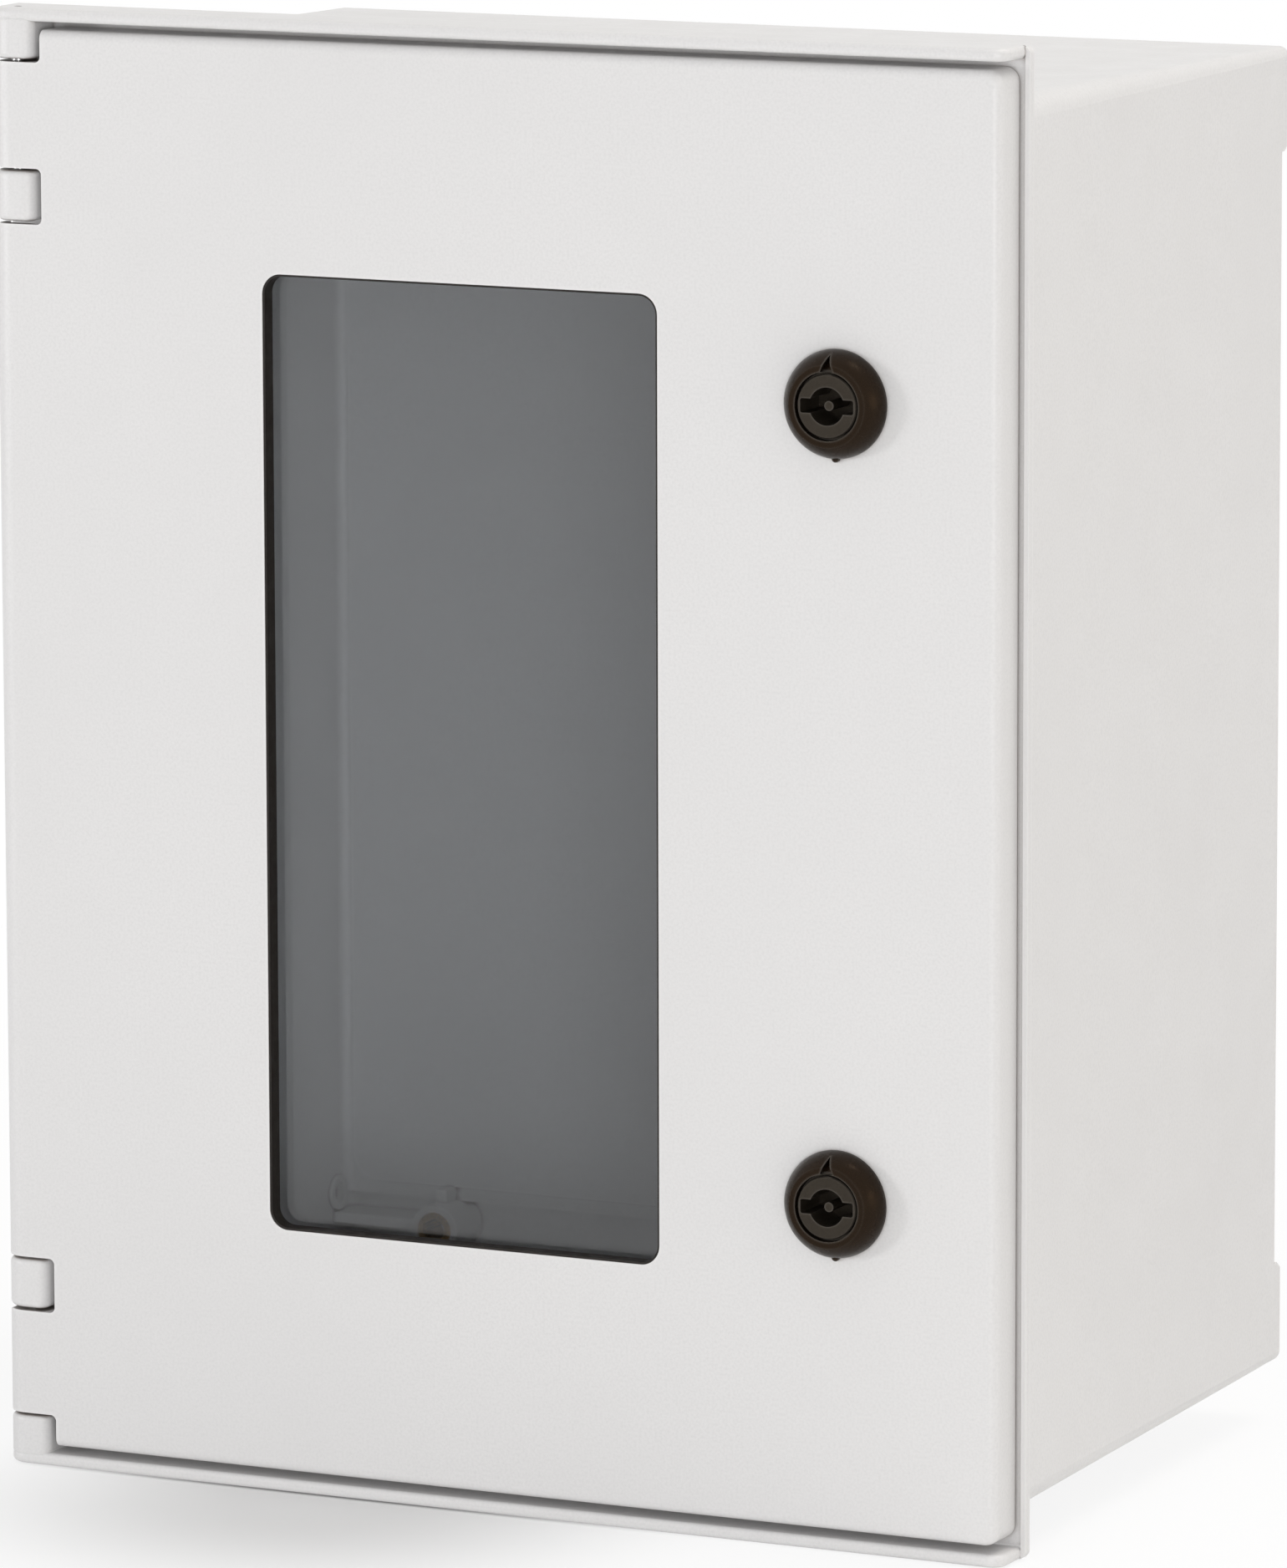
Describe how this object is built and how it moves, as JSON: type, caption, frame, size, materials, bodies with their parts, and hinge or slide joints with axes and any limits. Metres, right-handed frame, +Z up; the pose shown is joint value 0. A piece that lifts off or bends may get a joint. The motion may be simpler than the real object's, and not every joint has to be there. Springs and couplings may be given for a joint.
{
  "type": "electrical enclosure",
  "caption": "Wall-mounting glass-fibre polyester enclosure with a hinged door, a tall clear window, a seal collar and double-bit quarter-turn locks.",
  "frame": {"origin": "centre of the four wall fixings, on the wall plane", "axes": "+X to the right, +Y back into the wall, +Z up; the door faces -Y"},
  "size_m": [0.3, 0.2067, 0.4],
  "materials": {
    "polyester": "light grey hot-pressed polyester, satin",
    "clear_sheet": "clear polycarbonate sheet",
    "black_rubber": "matte",
    "foam_seal": "foamed polyurethane",
    "black_plastic": "black moulded polyamide, satin",
    "zinc_steel": "zinc-plated",
    "pin_steel": "drawn stainless",
    "brass": "turned"
  },
  "bodies": {
    "case": {"enclosure_body": "polyester", "plate_inserts": "brass", "wall_inserts": "brass", "hinge_pin_upper": "pin_steel", "hinge_pin_lower": "pin_steel"},
    "door": {"door": "polyester", "door_gasket": "foam_seal", "window_seal": "black_rubber", "window_pane": "clear_sheet", "pane_clips": "zinc_steel", "pane_clip_screws": "zinc_steel", "upper_lock_housing": "black_plastic", "upper_lock_seal": "black_rubber", "upper_lock_nut": "zinc_steel", "lower_lock_housing": "black_plastic", "lower_lock_seal": "black_rubber", "lower_lock_nut": "zinc_steel"},
    "upper_lock": {"upper_lock_rotor": "black_plastic", "upper_lock_cam": "zinc_steel", "upper_cam_washer": "zinc_steel", "upper_cam_screw": "zinc_steel"},
    "lower_lock": {"lower_lock_rotor": "black_plastic", "lower_lock_cam": "zinc_steel", "lower_cam_washer": "zinc_steel", "lower_cam_screw": "zinc_steel"}
  },
  "joints": [
    {"name": "door_hinge", "type": "hinge", "parent": "case", "child": "door", "pos_m": [-0.1438, -0.1938, 0], "axis": [0, 0, -1], "range_deg": [0, 180]},
    {"name": "upper_lock_turn", "type": "hinge", "parent": "door", "child": "upper_lock", "pos_m": [0.101, -0.2064, 0.106], "axis": [0, 1, 0], "range_deg": [0, 90]},
    {"name": "lower_lock_turn", "type": "hinge", "parent": "door", "child": "lower_lock", "pos_m": [0.101, -0.2064, -0.106], "axis": [0, 1, 0], "range_deg": [0, 90]}
  ]
}
